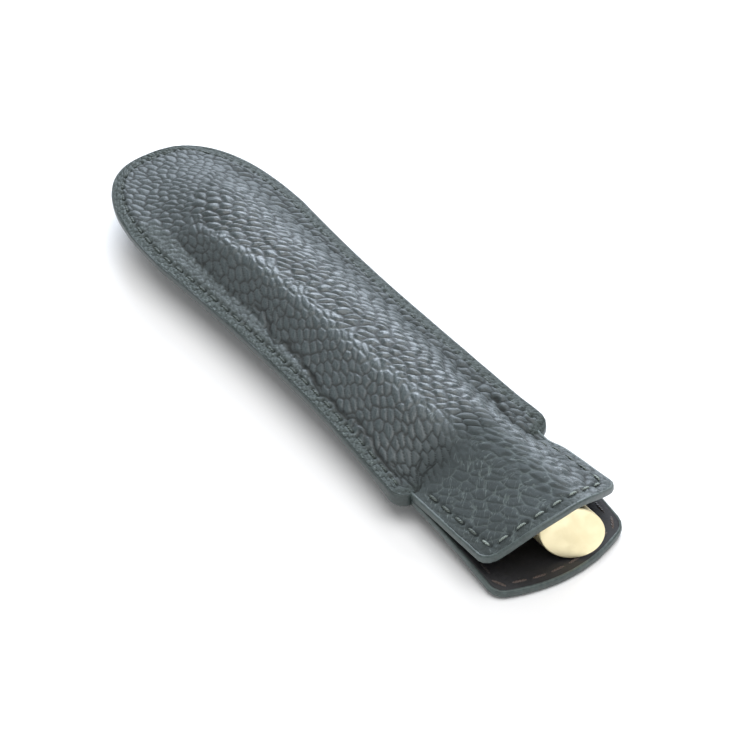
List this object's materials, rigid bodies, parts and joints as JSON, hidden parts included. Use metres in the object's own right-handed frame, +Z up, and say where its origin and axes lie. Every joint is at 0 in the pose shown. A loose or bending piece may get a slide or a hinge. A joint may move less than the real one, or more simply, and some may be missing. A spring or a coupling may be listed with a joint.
{
  "type": "pen sleeve",
  "caption": "Lined leather sleeve with a rounded closed end, side seams and two stitched flaps at its mouth, holding a capped pen that slides out.",
  "frame": {"origin": "on the surface that the sleeve lies on, under the middle of its length and width", "axes": "+X along the sleeve towards its mouth, +Y across it, +Z up from the surface through the front panel"},
  "size_m": [0.1629, 0.0408, 0.0168],
  "materials": {
    "leather_front": "pebbled dark green-grey leather with a soft sheen, creased at the shoulders",
    "leather_back": "pebbled dark green-grey leather with a soft sheen",
    "lining_front": "smooth matte near-black lining leather",
    "lining_back": "smooth matte near-black lining leather",
    "edge_paint": "rounded satin edge paint, grey-green",
    "seam_thread": "waxed thread, dark green-grey",
    "flap_thread": "waxed thread, light grey-green",
    "lining_thread": "waxed thread, dark brown",
    "polished_brass": "polished, pale and warm",
    "grip_plastic": "fine matte black",
    "liner_plastic": "moulded black",
    "refill_steel": "drawn stainless steel"
  },
  "bodies": {
    "sleeve": {"front_panel": "leather_front", "back_panel": "leather_back", "front_lining": "lining_front", "back_lining": "lining_back", "seam_edge_paint": "edge_paint", "front_flap_edge_paint": "edge_paint", "back_flap_edge_paint": "edge_paint", "seam_thread_top": "seam_thread", "seam_thread_under": "seam_thread", "front_flap_thread": "flap_thread", "front_flap_thread_inside": "lining_thread", "back_flap_thread_under": "flap_thread", "back_flap_thread_inside": "lining_thread"},
    "pen": {"pen_barrel": "polished_brass", "barrel_tail": "polished_brass", "barrel_ring": "polished_brass", "grip_section": "grip_plastic", "refill_tube": "refill_steel", "refill_tip": "refill_steel", "refill_spring": "refill_steel"},
    "pen_cap": {"cap_tube": "polished_brass", "cap_liner": "liner_plastic", "cap_crown": "polished_brass"}
  },
  "joints": [
    {"name": "pen_slide", "type": "slide", "parent": "sleeve", "child": "pen", "axis": [1, 0, 0], "range_m": [0, 0.145]},
    {"name": "cap_pull", "type": "slide", "parent": "pen", "child": "pen_cap", "axis": [1, 0, 0], "range_m": [0, 0.045]}
  ]
}
